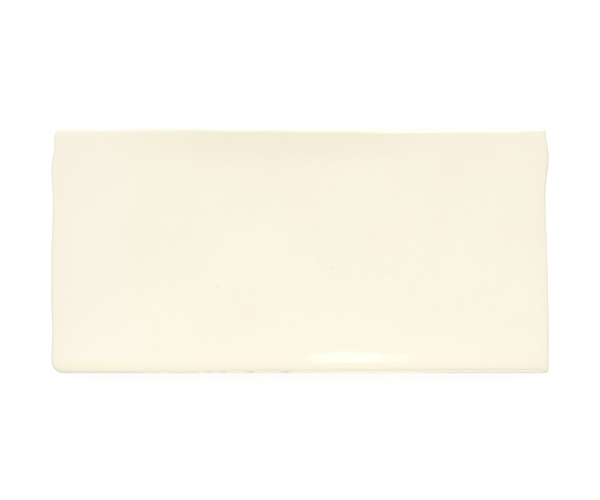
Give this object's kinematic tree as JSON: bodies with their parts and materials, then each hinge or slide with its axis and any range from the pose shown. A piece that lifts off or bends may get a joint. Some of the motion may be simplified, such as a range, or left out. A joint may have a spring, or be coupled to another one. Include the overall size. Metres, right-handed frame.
{
  "type": "wall tile",
  "caption": "Cream gloss-glazed ceramic wall tile with wavy hand-made edges, a softly pillowed face, rounded arrises and a waffle-keyed back for adhesive.",
  "frame": {"origin": "middle of the back, on the plane of the ribs that the tile lies on", "axes": "+X along the length, +Y across the width towards the upper side as pictured, +Z out of the glazed face"},
  "size_m": [0.15, 0.0742, 0.0085],
  "materials": {
    "cream_glaze": "gloss"
  },
  "bodies": {
    "root": {"tile": "cream_glaze"}
  },
  "joints": []
}
